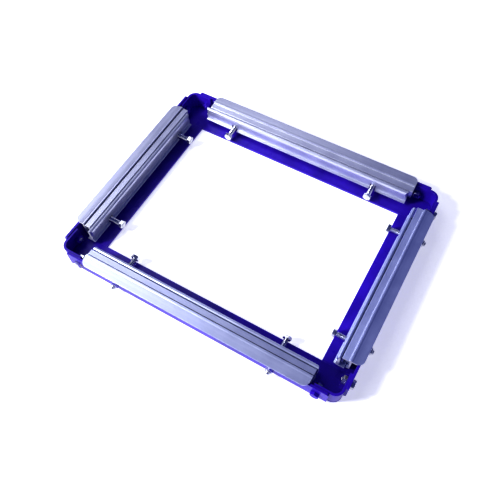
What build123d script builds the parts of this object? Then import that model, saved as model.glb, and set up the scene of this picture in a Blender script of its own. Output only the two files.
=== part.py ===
from build123d import *

import os
from dataclasses import dataclass

os.makedirs("parts", exist_ok=True)

# Self-stretching screen printing frame, in millimetres, +Z up.
# The origin is the centre of the opening, on the underside of the steel rails.
# Each side is drawn in its own coordinates: s runs along the side, u runs inward from the
# outer face of the rail's wall, and z runs up.

# Steel frame
OPENING_X = 400.0
OPENING_Y = 300.0
FLANGE_WIDTH = 53.0
SHEET = 4.0
WALL_HEIGHT = 36.5
BEND_RADIUS = 5.0
CORNER_RADIUS = 15.0
WALL_TIP_RADIUS = 3.0
LONG_WALL_LENGTH = 464.0
SHORT_WALL_LENGTH = 362.0
FLANGE_EDGE_RADIUS = 0.5
BRACKET_BOTTOM = 5.0
BRACKET_TOP = 35.0
BRACKET_END_X = 207.2
BRACKET_END_Y = 157.0

# Corner bolts (M8 hexagon bolts and nuts)
THREAD_RADIUS = 4.0
CLEARANCE_HOLE_RADIUS = 4.25
HEX_ACROSS_FLATS = 13.0
BOLT_HEAD_HEIGHT = 5.3
NUT_HEIGHT = 6.5
CORNER_BOLT_TIP = 2.0
CORNER_BOLT_X = 213.5
CORNER_BOLT_Y = 165.0
CORNER_BOLT_Z = 17.0

# Tension screws (M8, held in the wall, driving a nut bar)
SCREW_Z = 15.0
SCREW_STATION_LONG = 140.0
SCREW_STATION_SHORT = 106.0
SCREW_HEAD_U = 52.4
SCREW_TIP_U = -9.5
RUNNING_CLEARANCE = 0.05
END_FLOAT = 0.15
RING_RADIUS = 6.5
RING_THICKNESS = 1.6

# Clamp bars
LONG_BAR_LENGTH = 401.0
SHORT_BAR_LENGTH = 296.0
PLATE_CORNER_RADIUS = 11.0
NOSE_CORNER_RADIUS = 5.0
RING_HOLE_RADIUS = 7.5
JAW_NOTCH_WIDTH = 11.0
JAW_NOTCH_TOP = 21.5
NUT_BAR_U = (13.1, 22.9)
NUT_BAR_Z = (10.3, 21.3)
NUT_BAR_EDGE_RADIUS = 1.0
NUT_BAR_RECESS = 6.0

# Jaw screws (M4 socket heads inside the clamp bar)
JAW_SCREW_Z = 29.5
JAW_SCREW_FRACTIONS = (-0.45, -0.15, 0.15, 0.45)
JAW_SCREW_RADIUS = 2.0
JAW_SCREW_HEAD_RADIUS = 3.5
JAW_SCREW_HEAD_U = (19.1, 23.1)
JAW_SCREW_TIP_U = 30.6
JAW_HOLE_DEPTH = 5.0
KEY_HOLE_RADIUS = 3.6
SOCKET_RADIUS = 1.7
SOCKET_DEPTH = 2.0

# Extrusion sections as (u, z, corner radius)
CLAMP_BAR_OUTLINE = [
    (-5.5, 36.8, 0.6),
    (-5.5, 38.9, 1.0),
    (4.0, 39.4, 30.0),
    (9.4, 40.2, 2.0),
    (11.2, 41.0, 2.0),
    (13.9, 41.0, 0.6),
    (14.7, 37.3, 0.3),
    (16.0, 38.4, 0.4),
    (25.6, 37.5, 1.0),
    (25.6, 23.4, 0.6),
    (23.2, 23.4, 0.6),
    (23.2, 35.2, 0.8),
    (13.0, 35.4, 1.0),
    (13.0, 9.9, 1.0),
    (16.2, 9.9, 0.5),
    (16.2, 7.6, 0.5),
    (10.5, 7.6, 3.6),
    (10.5, 37.9, 0.8),
    (3.8, 37.2, 25.0),
]
CLAMP_JAW_OUTLINE = [
    (26.9, 37.3, 1.0),
    (29.4, 38.3, 1.5),
    (32.6, 37.2, 1.8),
    (33.4, 33.0, 4.0),
    (31.0, 13.6, 0.8),
    (35.0, 12.4, 0.8),
    (35.0, 10.2, 0.8),
    (30.6, 7.6, 2.0),
    (17.6, 7.6, 0.5),
    (17.6, 9.9, 0.5),
    (26.9, 9.9, 1.0),
]
PLATE_OUTER_U = -5.5
WEB_INNER_U = 13.0
WEB_THICKNESS = 2.5
LIP_OUTER_U = 23.2
NOSE_INNER_U = 33.4
FOOT_INNER_U = 35.0
JAW_SLOT_U = 26.9
NOSE_BOTTOM_Z = 24.0
PLATE_BOTTOM_Z = 30.0
ABOVE_BAR_Z = 50.0

# How far a cutting tool starts and ends outside the material it cuts
CUT_OVERRUN = 1.0


@dataclass(frozen=True)
class Side:
    """One side of the frame, with how its clamp bar is set along and across it."""

    name: str
    inward: tuple
    along: tuple
    half_depth: float
    ends: tuple
    bar_length: float
    screw_station: float
    set_in: float
    bar_shift: float
    jaw_shift: float

    def point(self, s, u, z):
        """Place s along, u inward and z up as a point of the frame."""
        distance = u - self.half_depth
        x = self.along[0] * s + self.inward[0] * distance
        y = self.along[1] * s + self.inward[1] * distance
        return (x, y, z)

    def section(self, s):
        """Cross-section plane at s: local x inward, local y up."""
        return Plane(origin=self.point(s, 0, 0), x_dir=self.inward + (0,), z_dir=self.along + (0,))

    def level(self, z):
        """Horizontal plane at z: local x along, local y inward."""
        return Plane(origin=self.point(0, 0, z), x_dir=self.along + (0,), z_dir=(0, 0, 1))

    def upright(self, u):
        """Plane parallel to the wall at u, facing outward: local x along, local y up."""
        outward = (-self.inward[0], -self.inward[1], 0)
        return Plane(origin=self.point(0, u, 0), x_dir=self.along + (0,), z_dir=outward)


HALF_X = OPENING_X / 2 + FLANGE_WIDTH
HALF_Y = OPENING_Y / 2 + FLANGE_WIDTH

LONG_SIDES = [
    Side("front", (0, 1), (1, 0), HALF_Y, ("left", "right"),
         LONG_BAR_LENGTH, SCREW_STATION_LONG, 0.4, 1.0, 2.5),
    Side("back", (0, -1), (-1, 0), HALF_Y, ("right", "left"),
         LONG_BAR_LENGTH, SCREW_STATION_LONG, 0.0, -6.0, -0.7),
]
SHORT_SIDES = [
    Side("left", (1, 0), (0, -1), HALF_X, ("back", "front"),
         SHORT_BAR_LENGTH, SCREW_STATION_SHORT, -0.3, -1.2, 6.0),
    Side("right", (-1, 0), (0, 1), HALF_X, ("front", "back"),
         SHORT_BAR_LENGTH, SCREW_STATION_SHORT, 2.0, 4.0, 1.2),
]
SIDES = LONG_SIDES + SHORT_SIDES


def save(builder, name):
    """Label a finished sub-part and write it as its own STEP file."""
    builder.part.label = name
    export_step(builder.part, f"parts/{name}.step")


def angle_section(plane):
    """Sketch of the bent angle: floor flange and upright wall."""
    outline = [
        (0, 0, BEND_RADIUS),
        (FLANGE_WIDTH, 0, FLANGE_EDGE_RADIUS),
        (FLANGE_WIDTH, SHEET, FLANGE_EDGE_RADIUS),
        (SHEET, SHEET, BEND_RADIUS - SHEET),
        (SHEET, WALL_HEIGHT, 0),
        (0, WALL_HEIGHT, 0),
    ]
    return extrusion_section(plane, outline, 0.0)


def extrusion_section(plane, outline, set_in):
    """Sketch of a closed outline with rounded corners, moved inward by set_in."""
    with BuildSketch(plane) as section:
        with BuildLine():
            points = [(u + set_in, z) for u, z, _ in outline]
            radii = [radius for _, _, radius in outline]
            FilletPolyline(*points, radius=radii, close=True)
        make_face()
    return section


def round_wall_tips(builder, side):
    """Round the two upper tips of a wall."""
    across = Axis((0, 0, 0), side.inward + (0,))
    tips = builder.edges().filter_by(across).group_by(Axis.Z)[-1]
    fillet(tips, radius=WALL_TIP_RADIUS)


def drill_wall(side, stations, height, radius):
    """Cut round holes through the wall of the part being built."""
    with BuildSketch(side.upright(SHEET + CUT_OVERRUN)) as holes:
        with Locations(*[(s, height) for s in stations]):
            Circle(radius)
    extrude(holes.sketch, amount=SHEET + 2 * CUT_OVERRUN, mode=Mode.SUBTRACT)


def round_plan_corners(side, half_length, shift, edge_u, direction, radius, bottom_z):
    """Round a bar's two end corners in plan, at the edge edge_u, between two heights."""
    for end in (-1, 1):
        corner_s = shift + end * half_length
        with BuildSketch(side.level(bottom_z)) as waste:
            with Locations((corner_s, edge_u)):
                Rectangle(2 * radius, 2 * radius)
            with Locations((corner_s - end * radius, edge_u + direction * radius)):
                Circle(radius, mode=Mode.SUBTRACT)
            keep_s = corner_s - end * radius
            with Locations((keep_s - end * radius, edge_u)):
                Rectangle(2 * radius, 4 * radius, mode=Mode.SUBTRACT)
            with Locations((corner_s, edge_u + direction * 2 * radius)):
                Rectangle(4 * radius, 2 * radius, mode=Mode.SUBTRACT)
        extrude(waste.sketch, amount=ABOVE_BAR_Z - bottom_z, mode=Mode.SUBTRACT)


# Long rails: the angle, with its floor carried on into the two corners
for side in LONG_SIDES:
    with BuildPart() as rail:
        profile = angle_section(side.section(-LONG_WALL_LENGTH / 2))
        extrude(profile.sketch, amount=LONG_WALL_LENGTH)
        round_wall_tips(rail, side)
        floor_half = HALF_X - SHEET
        with BuildSketch(side.level(0)):
            with Locations((0, (FLANGE_WIDTH + SHEET) / 2)):
                Rectangle(2 * floor_half, FLANGE_WIDTH - SHEET)
        extrude(amount=SHEET)
        corner_edges = (
            rail.edges()
            .filter_by(Axis.Z)
            .group_by(lambda edge: round(abs(edge.center().X)))[-1]
            .sort_by(lambda edge: -abs(edge.center().Y))
        )
        fillet(corner_edges[:2], radius=CORNER_RADIUS)
        drill_wall(side, (-CORNER_BOLT_X, CORNER_BOLT_X), CORNER_BOLT_Z, CLEARANCE_HOLE_RADIUS)
        screws = (-side.screw_station, side.screw_station)
        drill_wall(side, screws, SCREW_Z, THREAD_RADIUS + RUNNING_CLEARANCE)
    save(rail, f"rail_{side.name}")

# Short rails: the floor butts between the long rails and the wall laps past their ends
for side in SHORT_SIDES:
    with BuildPart() as rail:
        profile = angle_section(side.section(-SHORT_WALL_LENGTH / 2))
        extrude(profile.sketch, amount=SHORT_WALL_LENGTH)
        round_wall_tips(rail, side)
        overhang = (SHORT_WALL_LENGTH - OPENING_Y) / 2
        with BuildSketch(side.level(0)):
            for end in (-1, 1):
                with Locations((end * (OPENING_Y + overhang) / 2, SHEET + FLANGE_WIDTH / 2)):
                    Rectangle(overhang, FLANGE_WIDTH)
        extrude(amount=WALL_HEIGHT, mode=Mode.SUBTRACT)
        drill_wall(side, (-CORNER_BOLT_Y, CORNER_BOLT_Y), CORNER_BOLT_Z, CLEARANCE_HOLE_RADIUS)
        screws = (-side.screw_station, side.screw_station)
        drill_wall(side, screws, SCREW_Z, THREAD_RADIUS + RUNNING_CLEARANCE)
    save(rail, f"rail_{side.name}")

# Corner brackets: a flat strip bent round each corner, lapped inside both rail walls
BRACKET_MID_X = HALF_X - 1.5 * SHEET
BRACKET_MID_Y = HALF_Y - 1.5 * SHEET
for depth_name, y_sign in (("front", -1), ("back", 1)):
    for width_name, x_sign in (("left", -1), ("right", 1)):
        with BuildPart() as bracket:
            with BuildSketch(Plane.XY.offset(BRACKET_BOTTOM)):
                with BuildLine():
                    FilletPolyline(
                        (x_sign * BRACKET_END_X, y_sign * BRACKET_MID_Y),
                        (x_sign * BRACKET_MID_X, y_sign * BRACKET_MID_Y),
                        (x_sign * BRACKET_MID_X, y_sign * BRACKET_END_Y),
                        radius=CORNER_RADIUS - SHEET / 2,
                    )
                trace(line_width=SHEET)
            extrude(amount=BRACKET_TOP - BRACKET_BOTTOM)
            with BuildSketch(Plane.XZ.offset(-y_sign * (HALF_Y - 3 * SHEET))):
                with Locations((x_sign * CORNER_BOLT_X, CORNER_BOLT_Z)):
                    Circle(CLEARANCE_HOLE_RADIUS)
            extrude(amount=-y_sign * 3 * SHEET, mode=Mode.SUBTRACT)
            with BuildSketch(Plane.YZ.offset(x_sign * (HALF_X - 3 * SHEET))):
                with Locations((y_sign * CORNER_BOLT_Y, CORNER_BOLT_Z)):
                    Circle(CLEARANCE_HOLE_RADIUS)
            extrude(amount=x_sign * 3 * SHEET, mode=Mode.SUBTRACT)
        save(bracket, f"corner_bracket_{depth_name}_{width_name}")


def corner_stations(side):
    """Places along a side of its two corner bolts."""
    station = CORNER_BOLT_X if side in LONG_SIDES else CORNER_BOLT_Y
    return (-station, station)


def hexagon():
    """Hexagon of the bolt size, with two flats square to the side."""
    RegularPolygon(radius=HEX_ACROSS_FLATS / 2, side_count=6, major_radius=False, rotation=30)


# Corner bolts: heads outside the walls, shanks through both thicknesses and the nut
CORNER_BOLT_LENGTH = 2 * SHEET + NUT_HEIGHT + CORNER_BOLT_TIP
with BuildPart() as corner_bolts:
    for side in SIDES:
        for station in corner_stations(side):
            with BuildSketch(side.upright(0)):
                with Locations((station, CORNER_BOLT_Z)):
                    hexagon()
            extrude(amount=BOLT_HEAD_HEIGHT)
            with BuildSketch(side.upright(CORNER_BOLT_LENGTH)):
                with Locations((station, CORNER_BOLT_Z)):
                    Circle(THREAD_RADIUS)
            extrude(amount=CORNER_BOLT_LENGTH)
save(corner_bolts, "corner_bolts")

# Corner nuts: inside the brackets
with BuildPart() as corner_nuts:
    for side in SIDES:
        for station in corner_stations(side):
            with BuildSketch(side.upright(2 * SHEET + NUT_HEIGHT)):
                with Locations((station, CORNER_BOLT_Z)):
                    hexagon()
                    Circle(THREAD_RADIUS + RUNNING_CLEARANCE, mode=Mode.SUBTRACT)
            extrude(amount=NUT_HEIGHT)
save(corner_nuts, "corner_nuts")

for side in SIDES:
    half_length = side.bar_length / 2
    screw_stations = (-side.screw_station, side.screw_station)
    jaw_screw_stations = [fraction * side.bar_length for fraction in JAW_SCREW_FRACTIONS]

    # Clamp bar: overhanging stepped plate, web, foot and the outer side of the mesh slot
    with BuildPart() as clamp_bar:
        start = side.bar_shift - half_length
        profile = extrusion_section(side.section(start), CLAMP_BAR_OUTLINE, side.set_in)
        extrude(profile.sketch, amount=side.bar_length)
        round_plan_corners(
            side, half_length, side.bar_shift, PLATE_OUTER_U + side.set_in, 1,
            PLATE_CORNER_RADIUS, PLATE_BOTTOM_Z,
        )
        with BuildSketch(side.upright(WEB_INNER_U + CUT_OVERRUN + side.set_in)):
            with Locations(*[(s, SCREW_Z) for s in screw_stations]):
                Circle(RING_HOLE_RADIUS)
            with Locations(*[(s, JAW_SCREW_Z) for s in jaw_screw_stations]):
                Circle(KEY_HOLE_RADIUS)
        extrude(amount=WEB_THICKNESS + 2 * CUT_OVERRUN, mode=Mode.SUBTRACT)
        with BuildSketch(side.upright(JAW_SLOT_U + side.set_in)):
            with Locations(*[(s, JAW_SCREW_Z) for s in jaw_screw_stations]):
                Circle(JAW_SCREW_RADIUS + RUNNING_CLEARANCE)
        extrude(amount=JAW_SLOT_U - LIP_OUTER_U + CUT_OVERRUN, mode=Mode.SUBTRACT)
    save(clamp_bar, f"clamp_bar_{side.name}")

    # Clamp jaw: rounded nose over the mesh, with a notched foot round the tension screws
    with BuildPart() as clamp_jaw:
        start = side.jaw_shift - half_length
        profile = extrusion_section(side.section(start), CLAMP_JAW_OUTLINE, side.set_in)
        extrude(profile.sketch, amount=side.bar_length)
        round_plan_corners(
            side, half_length, side.jaw_shift, NOSE_INNER_U + side.set_in, -1,
            NOSE_CORNER_RADIUS, NOSE_BOTTOM_Z,
        )
        with BuildSketch(side.upright(FOOT_INNER_U + CUT_OVERRUN + side.set_in)):
            with Locations(*[(s, JAW_NOTCH_TOP / 2) for s in screw_stations]):
                Rectangle(JAW_NOTCH_WIDTH, JAW_NOTCH_TOP)
        extrude(amount=FOOT_INNER_U, mode=Mode.SUBTRACT)
        with BuildSketch(side.upright(JAW_SLOT_U + JAW_HOLE_DEPTH + side.set_in)):
            with Locations(*[(s, JAW_SCREW_Z) for s in jaw_screw_stations]):
                Circle(JAW_SCREW_RADIUS + RUNNING_CLEARANCE)
        extrude(amount=JAW_HOLE_DEPTH + CUT_OVERRUN, mode=Mode.SUBTRACT)
    save(clamp_jaw, f"clamp_jaw_{side.name}")

    # Nut bar: square steel bar inside the clamp bar, threaded for the tension screws
    with BuildPart() as nut_bar:
        nut_bar_length = side.bar_length - 2 * NUT_BAR_RECESS
        with BuildSketch(side.section(side.bar_shift - nut_bar_length / 2)):
            centre_u = sum(NUT_BAR_U) / 2 + side.set_in
            with Locations((centre_u, sum(NUT_BAR_Z) / 2)):
                width = NUT_BAR_U[1] - NUT_BAR_U[0]
                RectangleRounded(width, NUT_BAR_Z[1] - NUT_BAR_Z[0], NUT_BAR_EDGE_RADIUS)
        extrude(amount=nut_bar_length)
        with BuildSketch(side.upright(NUT_BAR_U[1] + CUT_OVERRUN + side.set_in)):
            with Locations(*[(s, SCREW_Z) for s in screw_stations]):
                Circle(THREAD_RADIUS + RUNNING_CLEARANCE)
        extrude(amount=NUT_BAR_U[1] - NUT_BAR_U[0] + 2 * CUT_OVERRUN, mode=Mode.SUBTRACT)
    save(nut_bar, f"nut_bar_{side.name}")

    # Jaw screws: socket heads inside the clamp bar, tips in the jaw
    with BuildPart() as jaw_screws:
        for station in jaw_screw_stations:
            with BuildSketch(side.upright(JAW_SCREW_TIP_U + side.set_in)):
                with Locations((station, JAW_SCREW_Z)):
                    Circle(JAW_SCREW_RADIUS)
            extrude(amount=JAW_SCREW_TIP_U - JAW_SCREW_HEAD_U[1])
            with BuildSketch(side.upright(JAW_SCREW_HEAD_U[1] + side.set_in)):
                with Locations((station, JAW_SCREW_Z)):
                    Circle(JAW_SCREW_HEAD_RADIUS)
            extrude(amount=JAW_SCREW_HEAD_U[1] - JAW_SCREW_HEAD_U[0])
            with BuildSketch(side.upright(JAW_SCREW_HEAD_U[0] + side.set_in)):
                with Locations((station, JAW_SCREW_Z)):
                    RegularPolygon(radius=SOCKET_RADIUS, side_count=6)
            extrude(amount=-SOCKET_DEPTH, mode=Mode.SUBTRACT)
    save(jaw_screws, f"jaw_screws_{side.name}")

    for end_name, station in zip(side.ends, screw_stations):
        place = f"{side.name}_{end_name}"

        # Tension screw: hexagon head inside the opening, tip out through the wall
        with BuildPart() as tension_screw:
            with BuildSketch(side.upright(SCREW_HEAD_U + BOLT_HEAD_HEIGHT)):
                with Locations((station, SCREW_Z)):
                    hexagon()
            extrude(amount=BOLT_HEAD_HEIGHT)
            with BuildSketch(side.upright(SCREW_HEAD_U)):
                with Locations((station, SCREW_Z)):
                    Circle(THREAD_RADIUS)
            extrude(amount=SCREW_HEAD_U - SCREW_TIP_U)
        save(tension_screw, f"tension_screw_{place}")

        # Lock nut: outside the wall
        with BuildPart() as lock_nut:
            with BuildSketch(side.upright(-END_FLOAT)):
                with Locations((station, SCREW_Z)):
                    hexagon()
                    Circle(THREAD_RADIUS, mode=Mode.SUBTRACT)
            extrude(amount=NUT_HEIGHT)
        save(lock_nut, f"lock_nut_{place}")

        # Retaining ring: inside the wall
        with BuildPart() as retaining_ring:
            with BuildSketch(side.upright(SHEET + END_FLOAT + RING_THICKNESS)):
                with Locations((station, SCREW_Z)):
                    Circle(RING_RADIUS)
                    Circle(THREAD_RADIUS, mode=Mode.SUBTRACT)
            extrude(amount=RING_THICKNESS)
        save(retaining_ring, f"retaining_ring_{place}")
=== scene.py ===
import math

import bpy
from mathutils import Matrix, Vector


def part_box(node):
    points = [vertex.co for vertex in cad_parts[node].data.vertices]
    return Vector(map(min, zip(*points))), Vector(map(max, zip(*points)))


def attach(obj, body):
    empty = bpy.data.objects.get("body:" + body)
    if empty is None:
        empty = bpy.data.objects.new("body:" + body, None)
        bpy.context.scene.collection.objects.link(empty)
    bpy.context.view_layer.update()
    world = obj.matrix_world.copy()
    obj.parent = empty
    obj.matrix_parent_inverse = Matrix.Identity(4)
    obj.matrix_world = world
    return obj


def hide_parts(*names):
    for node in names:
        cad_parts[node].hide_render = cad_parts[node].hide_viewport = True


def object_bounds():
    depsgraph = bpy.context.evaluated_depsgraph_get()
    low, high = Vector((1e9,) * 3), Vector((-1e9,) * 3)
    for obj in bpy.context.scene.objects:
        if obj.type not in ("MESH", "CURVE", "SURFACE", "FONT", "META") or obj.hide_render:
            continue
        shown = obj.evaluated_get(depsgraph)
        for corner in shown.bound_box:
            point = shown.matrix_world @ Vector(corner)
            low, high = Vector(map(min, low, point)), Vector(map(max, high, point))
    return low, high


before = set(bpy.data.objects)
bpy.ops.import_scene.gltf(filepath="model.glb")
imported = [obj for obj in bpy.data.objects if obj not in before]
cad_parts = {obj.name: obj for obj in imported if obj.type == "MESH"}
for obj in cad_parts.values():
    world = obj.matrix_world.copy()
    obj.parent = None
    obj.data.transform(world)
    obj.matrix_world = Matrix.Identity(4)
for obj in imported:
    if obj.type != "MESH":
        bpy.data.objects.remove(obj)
cad_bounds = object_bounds()

MM = 0.001

# ---------------------------------------------------------------------------
# The four sides: unit vectors inward, and the names of their ends
# ---------------------------------------------------------------------------
INWARD = {
    "front": Vector((0, 1, 0)),
    "back": Vector((0, -1, 0)),
    "left": Vector((1, 0, 0)),
    "right": Vector((-1, 0, 0)),
}
ENDS = {
    "front": ("left", "right"),
    "back": ("left", "right"),
    "left": ("front", "back"),
    "right": ("front", "back"),
}
SIDES = tuple(INWARD)


# ---------------------------------------------------------------------------
# Node helpers for the procedural materials
# ---------------------------------------------------------------------------
BEVEL_SAMPLES = 6
RECESS_SAMPLES = 8


class Surface:
    """A Principled material with short calls for the nodes that feed it."""

    def __init__(self, name):
        self.material = bpy.data.materials.new(name)
        self.material.use_nodes = True
        self.tree = self.material.node_tree
        self.shader = self.tree.nodes["Principled BSDF"]

    def node(self, kind, **settings):
        made = self.tree.nodes.new(kind)
        for key, value in settings.items():
            setattr(made, key, value)
        return made

    def link(self, output, target):
        self.tree.links.new(output, target)

    def set(self, **values):
        for key, value in values.items():
            self.shader.inputs[key.replace("_", " ")].default_value = value

    def coordinates(self, scale=(1, 1, 1)):
        """Row-frame position in metres, stretched by scale."""
        position = self.node("ShaderNodeTexCoord").outputs["Object"]
        mapping = self.node("ShaderNodeMapping")
        mapping.inputs["Scale"].default_value = scale
        self.link(position, mapping.inputs["Vector"])
        return mapping.outputs["Vector"]

    def lengthwise(self, along_x, along_scale, across_scale):
        """Coordinates drawn out along the bar, for lines that run its whole length."""
        if along_x:
            return self.coordinates((along_scale, across_scale, across_scale))
        return self.coordinates((across_scale, along_scale, across_scale))

    def noise(self, vector, scale, detail=3.0, roughness=0.5):
        made = self.node("ShaderNodeTexNoise")
        made.inputs["Scale"].default_value = scale
        made.inputs["Detail"].default_value = detail
        made.inputs["Roughness"].default_value = roughness
        self.link(vector, made.inputs["Vector"])
        return made.outputs["Fac"]

    def ramp(self, factor, stops):
        made = self.node("ShaderNodeValToRGB")
        elements = made.color_ramp.elements
        while len(elements) < len(stops):
            elements.new(0.5)
        for element, (position, colour) in zip(elements, stops):
            element.position = position
            element.color = (*colour, 1)
        self.link(factor, made.inputs["Fac"])
        return made.outputs["Color"]

    def spread(self, factor, low, high, start=0.0, end=1.0):
        made = self.node("ShaderNodeMapRange")
        made.inputs["From Min"].default_value = start
        made.inputs["From Max"].default_value = end
        made.inputs["To Min"].default_value = low
        made.inputs["To Max"].default_value = high
        self.link(factor, made.inputs["Value"])
        return made.outputs["Result"]

    def math(self, operation, first, second):
        made = self.node("ShaderNodeMath", operation=operation)
        for slot, value in zip(made.inputs, (first, second)):
            if isinstance(value, (int, float)):
                slot.default_value = value
            else:
                self.link(value, slot)
        return made.outputs["Value"]

    def blend(self, first, first_share, second, second_share):
        """Weighted sum of two values."""
        weighted_first = self.math("MULTIPLY", first, first_share)
        weighted_second = self.math("MULTIPLY", second, second_share)
        return self.math("ADD", weighted_first, weighted_second)

    def mix(self, factor, first, second):
        made = self.node("ShaderNodeMix", data_type="RGBA")
        self.link(factor, made.inputs["Factor"])
        for slot, value in ((made.inputs["A"], first), (made.inputs["B"], second)):
            if isinstance(value, tuple):
                slot.default_value = (*value, 1)
            else:
                self.link(value, slot)
        return made.outputs["Result"]

    def soft_edges(self, radius):
        made = self.node("ShaderNodeBevel", samples=BEVEL_SAMPLES)
        made.inputs["Radius"].default_value = radius
        return made.outputs["Normal"]

    def edge_mask(self, radius, start, end):
        """1 along the arrises, 0 on the open faces."""
        rounded = self.soft_edges(radius)
        true_normal = self.node("ShaderNodeNewGeometry").outputs["Normal"]
        dot = self.node("ShaderNodeVectorMath", operation="DOT_PRODUCT")
        self.link(rounded, dot.inputs[0])
        self.link(true_normal, dot.inputs[1])
        return self.spread(dot.outputs["Value"], 1.0, 0.0, start, end)

    def groove_light_mask(self, reach, start, end):
        """1 deep in a piece's own grooves and inside corners, 0 on the open faces: where painted shade or
        painted highlight goes.
        """
        made = self.node("ShaderNodeAmbientOcclusion", samples=RECESS_SAMPLES, only_local=True)
        made.inputs["Distance"].default_value = reach
        return self.spread(made.outputs["AO"], 1.0, 0.0, start, end)

    def facing(self, axis):
        """1 on faces square to an axis of the row frame, 0 on the others."""
        split = self.node("ShaderNodeSeparateXYZ")
        self.link(self.node("ShaderNodeTexCoord").outputs["Normal"], split.inputs["Vector"])
        squareness = self.math("ABSOLUTE", split.outputs[axis], 0)
        return self.spread(squareness, low=0.0, high=1.0, start=0.92, end=0.98)

    def bump(self, height, distance, strength=1.0, normal=None):
        made = self.node("ShaderNodeBump")
        made.inputs["Strength"].default_value = strength
        made.inputs["Distance"].default_value = distance
        self.link(height, made.inputs["Height"])
        if normal is not None:
            self.link(normal, made.inputs["Normal"])
        return made.outputs["Normal"]

    def colour(self, output):
        self.link(output, self.shader.inputs["Base Color"])

    def metallic(self, output):
        self.link(output, self.shader.inputs["Metallic"])

    def roughness(self, output):
        self.link(output, self.shader.inputs["Roughness"])

    def normal(self, output):
        self.link(output, self.shader.inputs["Normal"])


def paint_material(name, deep, bright, wear_and_highlight):
    """Glossy blue-violet enamel: orange peel, cloudy depth, and a lighter blue on chipped spots of the
    arrises that is partly worn paint and partly painted highlight.
    """
    surface = Surface(name)
    here = surface.coordinates()
    cloud = surface.noise(here, scale=18.0, detail=4.0)
    body = surface.ramp(cloud, [(0.35, deep), (0.68, bright)])
    chips = surface.noise(here, scale=260.0, detail=5.0, roughness=0.65)
    # Chipped spots on the arrises in lighter blue: partly worn paint, partly a painted highlight
    edge = surface.edge_mask(radius=0.9 * MM, start=0.72, end=0.97)
    chipped = surface.spread(chips, low=0.0, high=1.0, start=0.42, end=0.62)
    worn_and_lit_edge = surface.math("MULTIPLY", edge, chipped)
    surface.colour(surface.mix(worn_and_lit_edge, body, wear_and_highlight))
    smears = surface.noise(here, scale=60.0, detail=4.0)
    surface.roughness(surface.spread(smears, low=0.22, high=0.38))
    peel = surface.noise(here, scale=420.0, detail=2.0)
    rounded = surface.soft_edges(radius=0.6 * MM)
    surface.normal(surface.bump(peel, distance=0.06 * MM, strength=0.5, normal=rounded))
    surface.set(Specular_IOR_Level=0.22, Coat_Weight=0.06, Coat_Roughness=0.10)
    return surface.material


SAWN_COLOUR = (0.93, 0.93, 0.97)
SAWN_ROUGHNESS = 0.62
# Arris colour: partly rubbed metal, partly a painted highlight along the edges
ARRIS_WEAR_AND_HIGHLIGHT = (0.93, 0.94, 0.99)


def extrusion_material(name, along_x, dull, fresh, groove_light):
    """Satin anodised aluminium with die lines along the bar, rubbed arrises carrying a painted highlight,
    and the given painted shade or painted highlight in its grooves.
    """
    surface = Surface(name)
    die_lines = surface.noise(surface.lengthwise(along_x, 1.5, 700.0), scale=1.0, detail=3.0, roughness=0.6)
    bands = surface.noise(surface.lengthwise(along_x, 1.0, 120.0), scale=1.0, detail=2.0)
    handling = surface.noise(surface.coordinates(), scale=32.0, detail=5.0, roughness=0.6)
    tone = surface.blend(bands, 0.6, handling, 0.4)
    skin = surface.ramp(tone, [(0.32, dull), (0.66, fresh)])
    sawn = surface.facing(0 if along_x else 1)
    cut_or_drawn = surface.mix(sawn, skin, SAWN_COLOUR)
    # Lighter arrises: partly rubbed metal, partly a painted highlight
    worn_lit_arris = surface.edge_mask(radius=0.5 * MM, start=0.80, end=0.97)
    rubbed_and_lit = surface.mix(worn_lit_arris, cut_or_drawn, ARRIS_WEAR_AND_HIGHLIGHT)
    # Painted shade or painted highlight, as given, deep in the bar's own grooves and inside corners
    groove_light_share = surface.groove_light_mask(reach=3.0 * MM, start=0.30, end=0.85)
    surface.colour(surface.mix(groove_light_share, rubbed_and_lit, groove_light))
    gloss = surface.blend(die_lines, 0.5, handling, 0.5)
    satin = surface.spread(gloss, low=0.30, high=0.50, start=0.3, end=0.7)
    sawn_roughness = surface.math("MULTIPLY", sawn, SAWN_ROUGHNESS)
    surface.roughness(surface.math("MAXIMUM", satin, sawn_roughness))
    rounded = surface.soft_edges(radius=0.3 * MM)
    surface.normal(surface.bump(die_lines, distance=0.035 * MM, strength=0.6, normal=rounded))
    surface.metallic(surface.spread(sawn, low=0.72, high=0.30))
    return surface.material


def zinc_material(name):
    """Bright zinc plating with a faint blue and straw passivation."""
    surface = Surface(name)
    here = surface.coordinates()
    patches = surface.noise(here, scale=90.0, detail=4.0)
    surface.colour(surface.ramp(patches, [
        (0.30, (0.62, 0.64, 0.74)),
        (0.52, (0.74, 0.75, 0.79)),
        (0.72, (0.78, 0.76, 0.72)),
    ]))
    grain = surface.noise(here, scale=900.0, detail=3.0)
    smears = surface.noise(here, scale=240.0, detail=3.0)
    surface.roughness(surface.spread(smears, low=0.16, high=0.38, start=0.3, end=0.7))
    surface.normal(surface.bump(grain, distance=0.02 * MM, strength=0.5))
    surface.set(Metallic=1.0)
    return surface.material


def drawn_steel_material(name, along_x):
    """Cold-drawn steel bar, lightly oiled, with draw marks along it."""
    surface = Surface(name)
    marks = surface.noise(surface.lengthwise(along_x, 4.0, 500.0), scale=1.0, detail=4.0, roughness=0.65)
    stain = surface.noise(surface.coordinates(), scale=70.0, detail=4.0)
    surface.colour(surface.ramp(stain, [(0.3, (0.36, 0.36, 0.40)), (0.7, (0.58, 0.58, 0.63))]))
    surface.roughness(surface.spread(marks, low=0.28, high=0.52, start=0.3, end=0.7))
    rounded = surface.soft_edges(radius=0.4 * MM)
    surface.normal(surface.bump(marks, distance=0.04 * MM, strength=0.6, normal=rounded))
    surface.set(Metallic=1.0)
    return surface.material


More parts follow.
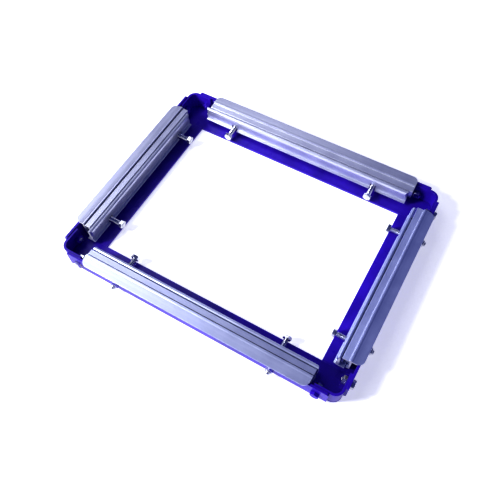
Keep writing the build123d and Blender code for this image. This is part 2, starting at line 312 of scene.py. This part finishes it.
def black_oxide_material(name):
    """Black oxide on the socket screws."""
    surface = Surface(name)
    here = surface.coordinates()
    stain = surface.noise(here, scale=150.0)
    surface.colour(surface.ramp(stain, [(0.3, (0.02, 0.02, 0.024)), (0.7, (0.05, 0.05, 0.06))]))
    surface.roughness(surface.spread(surface.noise(here, scale=500.0), low=0.35, high=0.55))
    surface.set(Metallic=1.0)
    return surface.material


def nylon_material(name):
    """Milky nylon ring of a lock nut."""
    surface = Surface(name)
    here = surface.coordinates()
    cloud = surface.noise(here, scale=200.0)
    surface.colour(surface.ramp(cloud, [(0.3, (0.62, 0.64, 0.72)), (0.7, (0.78, 0.79, 0.84))]))
    surface.roughness(surface.spread(surface.noise(here, scale=600.0), low=0.38, high=0.55))
    surface.set(Subsurface_Weight=0.1)
    return surface.material


PAINT = paint_material(
    "blue_enamel",
    deep=(0.040, 0.008, 0.40),
    bright=(0.074, 0.018, 0.60),
    wear_and_highlight=(0.19, 0.13, 0.80),
)
# Lit and shaded copies of one anodised aluminium: each bar's tone is painted light and shade for how it
# faces the lamps and the blue room
# Painted shade for the grooves of the front and left bars, painted highlight for those of the back and right
# bars
GROOVE_PAINTED_SHADE = (0.03, 0.03, 0.09)
GROOVE_PAINTED_HIGHLIGHT = (0.97, 0.98, 1.0)
ALUMINIUM_LIT_BY_SIDE = {
    "front": extrusion_material("anodised_front", True, (0.56, 0.60, 0.82), (0.68, 0.72, 0.92), GROOVE_PAINTED_SHADE),
    "back": extrusion_material("anodised_back", True, (0.66, 0.68, 0.83), (0.80, 0.82, 0.94), GROOVE_PAINTED_HIGHLIGHT),
    "left": extrusion_material("anodised_left", False, (0.56, 0.58, 0.73), (0.67, 0.69, 0.83), GROOVE_PAINTED_SHADE),
    "right": extrusion_material("anodised_right", False, (0.52, 0.57, 0.90), (0.64, 0.69, 1.0), GROOVE_PAINTED_HIGHLIGHT),
}
ZINC = zinc_material("bright_zinc")
STEEL_X = drawn_steel_material("drawn_steel_x", True)
STEEL_Y = drawn_steel_material("drawn_steel_y", False)
BLACK_OXIDE = black_oxide_material("black_oxide")
NYLON = nylon_material("nylon")


def dress(node, material):
    """Give a CAD node's every slot this material."""
    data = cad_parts[node].data
    if not data.materials:
        data.materials.append(material)
    for index in range(len(data.materials)):
        data.materials[index] = material


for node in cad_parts:
    if node.startswith(("rail_", "corner_bracket_")):
        dress(node, PAINT)
for side in SIDES:
    along_x = side in ("front", "back")
    dress(f"clamp_bar_{side}", ALUMINIUM_LIT_BY_SIDE[side])
    dress(f"clamp_jaw_{side}", ALUMINIUM_LIT_BY_SIDE[side])
    dress(f"nut_bar_{side}", STEEL_X if along_x else STEEL_Y)
    dress(f"jaw_screws_{side}", BLACK_OXIDE)
    for end in ENDS[side]:
        dress(f"retaining_ring_{side}_{end}", ZINC)

# ---------------------------------------------------------------------------
# Fasteners in mesh code: real hexagons, chamfers and helical threads.
# Each is built with its axis along local +Z and then laid along its side.
# ---------------------------------------------------------------------------
ROUND_STEPS = 48
THREAD_ROWS_PER_TURN = 8
PITCH = 1.25 * MM
THREAD_DEPTH = 0.68 * MM
THREAD_FLANK = 0.42
THREAD_ROOT_FLAT = 0.12
CHAMFER_SLOPE = math.tan(math.radians(30))
HEX_CORNER_REACH = 1.142
HEX_FACE_SHARE = 0.955
HEX_STEP = math.pi / 3
SMOOTH_ANGLE = math.radians(35)


class Shape:
    """Points and faces gathered for one mesh."""

    def __init__(self):
        self.points = []
        self.faces = []
        self.face_material = []

    def ring(self, radius_at, height_at, steps):
        first = len(self.points)
        for step in range(steps):
            angle = 2 * math.pi * step / steps
            radius = radius_at(angle)
            self.points.append((radius * math.cos(angle), radius * math.sin(angle), height_at(angle)))
        return [first + step for step in range(steps)]

    def skin(self, lower, upper, material=0):
        count = len(lower)
        for step in range(count):
            following = (step + 1) % count
            self.faces.append((lower[step], lower[following], upper[following], upper[step]))
            self.face_material.append(material)

    def cap(self, ring, upward, material=0):
        self.faces.append(tuple(ring) if upward else tuple(reversed(ring)))
        self.face_material.append(material)

    def lathe(self, profile, steps=ROUND_STEPS, materials=None):
        """Skin round rings at (radius, height) pairs; returns the rings."""
        rings = []
        for radius, height in profile:
            rings.append(self.ring(lambda angle, r=radius: r, lambda angle, h=height: h, steps))
        for index in range(len(rings) - 1):
            self.skin(rings[index], rings[index + 1], materials[index] if materials else 0)
        return rings

    def object(self, name, placement, materials):
        """Mesh object of the gathered faces, moved to its placement."""
        mesh = bpy.data.meshes.new(name)
        mesh.from_pydata(self.points, [], self.faces)
        for material in materials:
            mesh.materials.append(material)
        for polygon, index in zip(mesh.polygons, self.face_material):
            polygon.material_index = index
            polygon.use_smooth = True
        mesh.transform(placement)
        mesh.set_sharp_from_angle(angle=SMOOTH_ANGLE)
        mesh.update()
        piece = bpy.data.objects.new(name, mesh)
        bpy.context.scene.collection.objects.link(piece)
        return piece


def hexagon_radius(across_flats):
    """Radius of a hexagon with flats at 0, 60, 120 degrees, softened at its corners."""
    def radius_at(angle):
        turn = (angle + HEX_STEP / 2) % HEX_STEP - HEX_STEP / 2
        return min(across_flats / 2 / math.cos(turn), across_flats / 2 * HEX_CORNER_REACH)
    return radius_at


def chamfered_hexagon(shape, across_flats, bottom, top, chamfer_bottom, chamfer_top):
    """Skin the sides of a hexagon whose corners are turned off at 30 degrees."""
    radius_at = hexagon_radius(across_flats)
    face_radius = across_flats / 2 * HEX_FACE_SHARE

    def cut(angle):
        return (radius_at(angle) - face_radius) * CHAMFER_SLOPE

    rings = []
    if chamfer_bottom:
        rings.append(shape.ring(lambda angle: face_radius, lambda angle: bottom, ROUND_STEPS))
    low = (lambda angle: bottom + cut(angle)) if chamfer_bottom else (lambda angle: bottom)
    high = (lambda angle: top - cut(angle)) if chamfer_top else (lambda angle: top)
    rings.append(shape.ring(radius_at, low, ROUND_STEPS))
    rings.append(shape.ring(radius_at, high, ROUND_STEPS))
    if chamfer_top:
        rings.append(shape.ring(lambda angle: face_radius, lambda angle: top, ROUND_STEPS))
    for lower, upper in zip(rings, rings[1:]):
        shape.skin(lower, upper)
    return rings


def thread_level(turns):
    """Height of a 60 degree thread, 0 at the root to 1 at the crest, after this many turns."""
    phase = turns % 1.0
    flank = min(phase, 1.0 - phase) / THREAD_FLANK
    return min(1.0, max(0.0, flank - THREAD_ROOT_FLAT))


def thread(shape, radius, bottom, top):
    """Rings of a helical thread between two heights, run out at both ends."""
    root = radius - THREAD_DEPTH
    rows = math.ceil((top - bottom) / PITCH * THREAD_ROWS_PER_TURN)
    rings = []
    for row in range(rows + 1):
        height = bottom + (top - bottom) * row / rows
        fade = min(1.0, (height - bottom) / PITCH, (top - height) / PITCH)

        def radius_at(angle):
            turns = height / PITCH - angle / (2 * math.pi)
            return root + THREAD_DEPTH * fade * thread_level(turns)

        rings.append(shape.ring(radius_at, lambda angle: height, ROUND_STEPS))
    for lower, upper in zip(rings, rings[1:]):
        shape.skin(lower, upper)
    return rings


def laid_along(side, start, turn_degrees=0.0):
    """Placement that puts local +Z outward across this side, starting at a point."""
    outward = -INWARD[side]
    along = INWARD[side].cross(Vector((0, 0, 1)))
    columns = Matrix((along, outward.cross(along), outward)).transposed()
    turn = Matrix.Rotation(math.radians(turn_degrees), 4, "Z")
    return Matrix.Translation(start) @ columns.to_4x4() @ turn


# A screw: a dished head, a washer face under it, an undercut, the thread and a chamfered tip
DISH_DEPTH = 0.25 * MM
DISH_FLOOR_SHARE = 0.98
DISH_RIM_SHARE = 1.08
WASHER_HEIGHT = 0.4 * MM
WASHER_SHARE = 0.93
FILLET_SHARE = 1.04
UNDERCUT_LENGTH = 0.4 * MM
THREAD_START = 0.5 * MM
THREAD_END = 0.6 * MM
TIP_LENGTH = 0.5 * MM
TIP_SHARE = 0.7


def screw_shape(across_flats, head_height, radius, length):
    """Hexagon screw from its head's free face at 0 to its tip at length."""
    shape = Shape()
    dish = shape.lathe([(radius * DISH_FLOOR_SHARE, DISH_DEPTH), (radius * DISH_RIM_SHARE, 0.0)])
    shape.cap(dish[0], upward=False)
    washer_start = head_height - WASHER_HEIGHT
    hexagon = chamfered_hexagon(shape, across_flats, 0.0, washer_start, True, False)
    shape.skin(dish[1], hexagon[0])
    root = radius - THREAD_DEPTH
    washer = shape.lathe([
        (across_flats / 2 * WASHER_SHARE, washer_start),
        (across_flats / 2 * WASHER_SHARE, head_height),
        (radius * FILLET_SHARE, head_height),
        (root, head_height + UNDERCUT_LENGTH),
    ])
    shape.skin(hexagon[-1], washer[0])
    thread_rings = thread(shape, radius, head_height + THREAD_START, length - THREAD_END)
    shape.skin(washer[-1], thread_rings[0])
    tip = shape.lathe([(root, length - TIP_LENGTH), (radius * TIP_SHARE, length)])
    shape.skin(thread_rings[-1], tip[0])
    shape.cap(tip[-1], upward=True)
    return shape


BORE_CHAMFER = 0.45 * MM
BORE_MOUTH_SHARE = 1.12


def nut_shape(across_flats, height, bore):
    """Plain hexagon nut, chamfered on both faces and in its bore."""
    shape = Shape()
    hexagon = chamfered_hexagon(shape, across_flats, 0.0, height, True, True)
    inside = shape.lathe([
        (bore * BORE_MOUTH_SHARE, height),
        (bore, height - BORE_CHAMFER),
        (bore, BORE_CHAMFER),
        (bore * BORE_MOUTH_SHARE, 0.0),
    ])
    shape.skin(hexagon[-1], inside[0])
    shape.skin(inside[-1], hexagon[0])
    return shape


LOCK_NUT_HEX_SHARE = 0.68
COLLAR_SHARE = 0.90
# The lock nut's collar, rolled over its nylon: (share of the collar's radius, depth below the top)
COLLAR_PROFILE = (
    (1.00, 0.90 * MM),
    (0.96, 0.35 * MM),
    (0.86, 0.00),
    (0.80, 0.10 * MM),
    (0.78, 0.50 * MM),
)
METAL, PLASTIC = 0, 1
COLLAR_MATERIALS = (METAL, METAL, METAL, METAL, PLASTIC, PLASTIC, PLASTIC, METAL)
COLLAR_START = 0.1 * MM
NYLON_BORE_SHARE = 1.02
NYLON_BORE_DEPTH = 0.6 * MM


def lock_nut_shape(across_flats, height, bore):
    """Lock nut: hexagon, rolled collar and a nylon ring."""
    shape = Shape()
    hex_top = height * LOCK_NUT_HEX_SHARE
    hexagon = chamfered_hexagon(shape, across_flats, 0.0, hex_top, True, True)
    collar_radius = across_flats / 2 * COLLAR_SHARE
    profile = [(collar_radius, hex_top + COLLAR_START)]
    profile += [(collar_radius * share, height - depth) for share, depth in COLLAR_PROFILE]
    profile += [
        (bore * NYLON_BORE_SHARE, height - NYLON_BORE_DEPTH),
        (bore, BORE_CHAMFER),
        (bore * BORE_MOUTH_SHARE, 0.0),
    ]
    collar = shape.lathe(profile, materials=COLLAR_MATERIALS)
    shape.skin(hexagon[-1], collar[0])
    shape.skin(collar[-1], hexagon[0])
    return shape


# ---------------------------------------------------------------------------
# Tension screws and their lock nuts, each turned to its own angle in degrees
# ---------------------------------------------------------------------------
HEAD_HEIGHT = 5.3 * MM
SCREW_RADIUS = 4.0 * MM
LOCK_NUT_TURN = 17
SCREW_TURNS = {
    ("front", "left"): 12, ("front", "right"): 38, ("back", "left"): 22, ("back", "right"): 7,
    ("left", "front"): 31, ("left", "back"): 16, ("right", "front"): 44, ("right", "back"): 26,
}


def inner_end(node, side):
    """Middle of the face of a node's box that looks into the opening."""
    low, high = (Vector(corner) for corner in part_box(node))
    middle = (low + high) / 2
    reach = (high - low) / 2
    return middle + Vector(INWARD[side][axis] * reach[axis] for axis in range(3))


def depth_across(node, side):
    """A node's size along the inward direction of a side."""
    low, high = (Vector(corner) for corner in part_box(node))
    return abs((high - low).dot(INWARD[side]))


def hexagon_width(node, side):
    """A node's size along its side, which is its width across flats."""
    low, high = (Vector(corner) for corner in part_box(node))
    return abs((high - low).dot(INWARD[side].cross(Vector((0, 0, 1)))))


for side in SIDES:
    for end in ENDS[side]:
        body = f"screw_{side}_{end}"
        turn = SCREW_TURNS[side, end]
        node = f"tension_screw_{side}_{end}"
        screw_flats = hexagon_width(node, side)
        shape = screw_shape(screw_flats, HEAD_HEIGHT, SCREW_RADIUS, depth_across(node, side))
        placement = laid_along(side, inner_end(node, side), turn)
        screw = shape.object(f"lead_screw_{side}_{end}", placement, [ZINC])
        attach(screw, body)
        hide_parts(node)

        node = f"lock_nut_{side}_{end}"
        shape = lock_nut_shape(screw_flats, depth_across(node, side), SCREW_RADIUS)
        placement = laid_along(side, inner_end(node, side), turn + LOCK_NUT_TURN)
        nut = shape.object(f"locking_nut_{side}_{end}", placement, [ZINC, NYLON])
        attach(nut, body)
        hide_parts(node)

# ---------------------------------------------------------------------------
# Corner bolts and nuts, of the tension screws' size: some were fitted before painting, so they are blue
# ---------------------------------------------------------------------------
CORNER_FLATS = hexagon_width("tension_screw_right_back", "right")
CORNER_BOLT_X = 213.5 * MM
CORNER_BOLT_Y = 165.0 * MM
CORNER_BOLT_Z = 17.0 * MM
CORNER_NUT_HEIGHT = 6.5 * MM
PAINTED_BOLTS = {("front", "right"), ("back", "right"), ("left", "back"), ("back", "left")}
PAINTED_NUTS = {("left", "front"), ("back", "left"), ("left", "back")}
END_SIGN = {"left": -1, "right": 1, "front": -1, "back": 1}
bolt_box = [Vector(corner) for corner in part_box("corner_bolts")]
nut_box = [Vector(corner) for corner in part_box("corner_nuts")]


def wall_distance(side, box):
    """How far out a box reaches on a side."""
    low, high = box
    outward = -INWARD[side]
    return max(low.dot(outward), high.dot(outward))


def corner_place(side, end, distance):
    """Point on a corner bolt's axis, that far out from the middle of the frame."""
    station = CORNER_BOLT_X if side in ("front", "back") else CORNER_BOLT_Y
    along = Vector((1, 0, 0)) if side in ("front", "back") else Vector((0, 1, 0))
    return along * station * END_SIGN[end] - INWARD[side] * distance + Vector((0, 0, CORNER_BOLT_Z))


BOLT_LENGTH = 21.8 * MM
BOLT_TURN_PER_SIDE = 11
BOLT_TURN_AT_END = {"left": 23, "front": 23, "right": 5, "back": 5}
CORNER_NUT_TURN = 13
for number, side in enumerate(SIDES):
    for end in ENDS[side]:
        key = (side, end)
        turn = BOLT_TURN_PER_SIDE * number + BOLT_TURN_AT_END[end]
        shape = screw_shape(CORNER_FLATS, HEAD_HEIGHT, SCREW_RADIUS, BOLT_LENGTH)
        start = corner_place(side, end, wall_distance(side, bolt_box))
        placement = laid_along(side, start, turn) @ Matrix.Rotation(math.pi, 4, "X")
        coating = PAINT if key in PAINTED_BOLTS else ZINC
        bolt = shape.object(f"corner_bolt_{side}_{end}", placement, [coating])
        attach(bolt, "root")
        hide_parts("corner_bolts")

        shape = nut_shape(CORNER_FLATS, CORNER_NUT_HEIGHT, SCREW_RADIUS)
        start = corner_place(side, end, wall_distance(side, nut_box) - CORNER_NUT_HEIGHT)
        placement = laid_along(side, start, turn + CORNER_NUT_TURN)
        coating = PAINT if key in PAINTED_NUTS else ZINC
        nut = shape.object(f"corner_nut_{side}_{end}", placement, [coating])
        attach(nut, "root")
        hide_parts("corner_nuts")

# ---------------------------------------------------------------------------
# Floor, lights and camera
# ---------------------------------------------------------------------------
EXPOSURE = 0.54
GAMMA = 0.71
FLOOR_SIZE = 8.0
FLOOR_GLOW = 0.42

scene = bpy.context.scene
scene.view_settings.view_transform = "Standard"
scene.view_settings.exposure = EXPOSURE
scene.view_settings.gamma = GAMMA

bpy.ops.mesh.primitive_plane_add(size=FLOOR_SIZE, location=(0, 0, cad_bounds[0][2]))
floor = bpy.context.object
floor.name = "studio_floor"
floor_surface = Surface("pale_floor")
floor_grain = floor_surface.noise(floor_surface.coordinates(), scale=6.0, detail=2.0)
floor_surface.colour(floor_surface.ramp(floor_grain, [(0.3, (0.90, 0.90, 0.91)), (0.7, (0.94, 0.94, 0.95))]))
floor_surface.set(Roughness=0.9, Emission_Color=(1.0, 1.0, 1.0, 1.0), Emission_Strength=FLOOR_GLOW)
floor.data.materials.append(floor_surface.material)

# Lights: (name, place, width and height, power), all aimed at the middle of the frame
LIGHT_COLOUR = (1.0, 1.0, 0.98)
LIGHTS = (
    ("key", (-1.70, -1.35, 1.85), (0.35, 0.35), 31.0),
    ("key_low", (-1.90, -1.75, 1.10), (0.35, 0.35), 33.0),
    ("softbox", (-1.50, 0.38, 2.35), (1.50, 1.40), 13.5),
    ("back", (-0.91, 2.20, 1.43), (0.90, 0.90), 3.2),
)
for name, place, (width, height), power in LIGHTS:
    lamp = bpy.data.lights.new(name, "AREA")
    lamp.shape = "RECTANGLE"
    lamp.size = width
    lamp.size_y = height
    lamp.energy = power
    lamp.color = LIGHT_COLOUR
    light = bpy.data.objects.new(name, lamp)
    light.location = place
    light.rotation_euler = (-Vector(place)).to_track_quat("-Z", "Y").to_euler()
    scene.collection.objects.link(light)

# The room fills the shadows with a little blue, and looks pale to the camera
SHADOW_FILL = (0.26, 0.31, 1.0, 1)
SHADOW_FILL_STRENGTH = 0.16
ROOM_WHITE = (0.96, 0.96, 1.0, 1)
world = bpy.data.worlds.new("studio")
scene.world = world
world.use_nodes = True
room = world.node_tree
fill = room.nodes["Background"]
fill.inputs["Color"].default_value = SHADOW_FILL
fill.inputs["Strength"].default_value = SHADOW_FILL_STRENGTH
seen = room.nodes.new("ShaderNodeBackground")
seen.inputs["Color"].default_value = ROOM_WHITE
choice = room.nodes.new("ShaderNodeMixShader")
ray = room.nodes.new("ShaderNodeLightPath")
room.links.new(ray.outputs["Is Camera Ray"], choice.inputs["Fac"])
room.links.new(fill.outputs["Background"], choice.inputs[1])
room.links.new(seen.outputs["Background"], choice.inputs[2])
room.links.new(choice.outputs["Shader"], room.nodes["World Output"].inputs["Surface"])

CAMERA_PLACE = Vector((0.2431, -0.4190, 0.7874))
CAMERA_AZIMUTH = math.radians(31.18)
CAMERA_ELEVATION = math.radians(60.40)
CAMERA_ROLL = math.radians(-1.69)
CAMERA_LENS = 38.93
SENSOR_WIDTH = 36.0

camera_data = bpy.data.cameras.new("camera")
camera_data.lens = CAMERA_LENS
camera_data.sensor_width = SENSOR_WIDTH
camera = bpy.data.objects.new("camera", camera_data)
scene.collection.objects.link(camera)
forward = Vector((
    -math.sin(CAMERA_AZIMUTH) * math.cos(CAMERA_ELEVATION),
    math.cos(CAMERA_AZIMUTH) * math.cos(CAMERA_ELEVATION),
    -math.sin(CAMERA_ELEVATION),
))
level = forward.to_track_quat("-Z", "Y").to_matrix().to_4x4()
camera.matrix_world = Matrix.Translation(CAMERA_PLACE) @ level @ Matrix.Rotation(CAMERA_ROLL, 4, "Z")
scene.camera = camera
